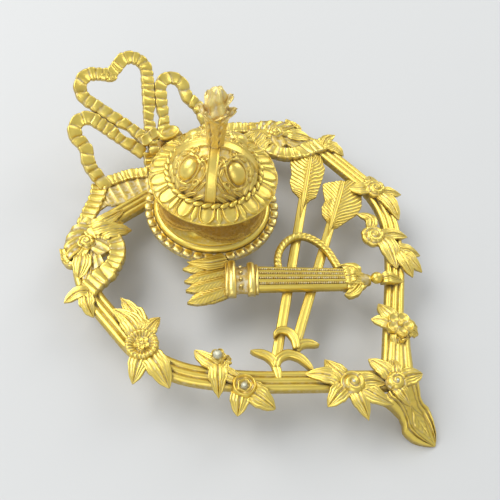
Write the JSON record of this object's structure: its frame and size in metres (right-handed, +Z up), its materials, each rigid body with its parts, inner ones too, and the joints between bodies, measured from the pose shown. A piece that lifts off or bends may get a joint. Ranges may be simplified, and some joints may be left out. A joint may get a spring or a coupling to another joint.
{
  "type": "desk inkstand",
  "caption": "Gilt-brass desk inkstand: openwork heart tray with ribbon bow, quiver and arrows, and a round inkwell with a hinged domed lid and flame finial.",
  "frame": {"origin": "on the table, under the middle of the whole piece", "axes": "+Z up, +Y from the heart's point towards the bow, +X to the right as seen from the point"},
  "size_m": [0.188, 0.2614, 0.1015],
  "materials": {
    "gilt_brass": "gilded cast brass, semi-gloss",
    "burnished_brass": "gilded cast brass, burnished",
    "plain_brass": "turned brass, satin",
    "glass": "clear moulded glass"
  },
  "bodies": {
    "stand": {"heart_limb_left": "gilt_brass", "heart_limb_right": "gilt_brass", "well_ring": "gilt_brass", "front_foot": "gilt_brass", "back_foot_left": "gilt_brass", "back_foot_right": "gilt_brass", "bow_heart_loop": "burnished_brass", "bow_loop_left": "burnished_brass", "bow_loop_right": "burnished_brass", "bow_knot": "burnished_brass", "ribbon_tail_left": "burnished_brass", "ribbon_tail_right": "burnished_brass", "lobe_bow_left": "burnished_brass", "lobe_bow_right": "burnished_brass", "sprig_left_upper": "burnished_brass", "sprig_left_middle": "burnished_brass", "sprig_left_lower": "burnished_brass", "sprig_point": "burnished_brass", "sprig_right_lower": "burnished_brass", "sprig_right_middle": "burnished_brass", "sprig_right_upper": "burnished_brass", "quiver_tube": "burnished_brass", "quiver_collar": "burnished_brass", "quiver_flights": "burnished_brass", "quiver_chape": "burnished_brass", "quiver_strap": "gilt_brass", "arrow_upper": "gilt_brass", "arrow_lower": "gilt_brass", "inkwell_body": "gilt_brass", "ink_liner": "glass", "well_screw": "plain_brass", "hinge_bracket": "plain_brass", "hinge_pin": "plain_brass"},
    "lid": {"lid": "gilt_brass", "lid_hinge_leaf": "gilt_brass", "finial_cup": "burnished_brass", "finial_flame": "burnished_brass", "finial_nut": "plain_brass"}
  },
  "joints": [
    {"name": "lid_hinge", "type": "hinge", "parent": "stand", "child": "lid", "pos_m": [0, 0.06929, 0.0415], "axis": [-1, 0, 0], "range_deg": [0, 100]}
  ]
}
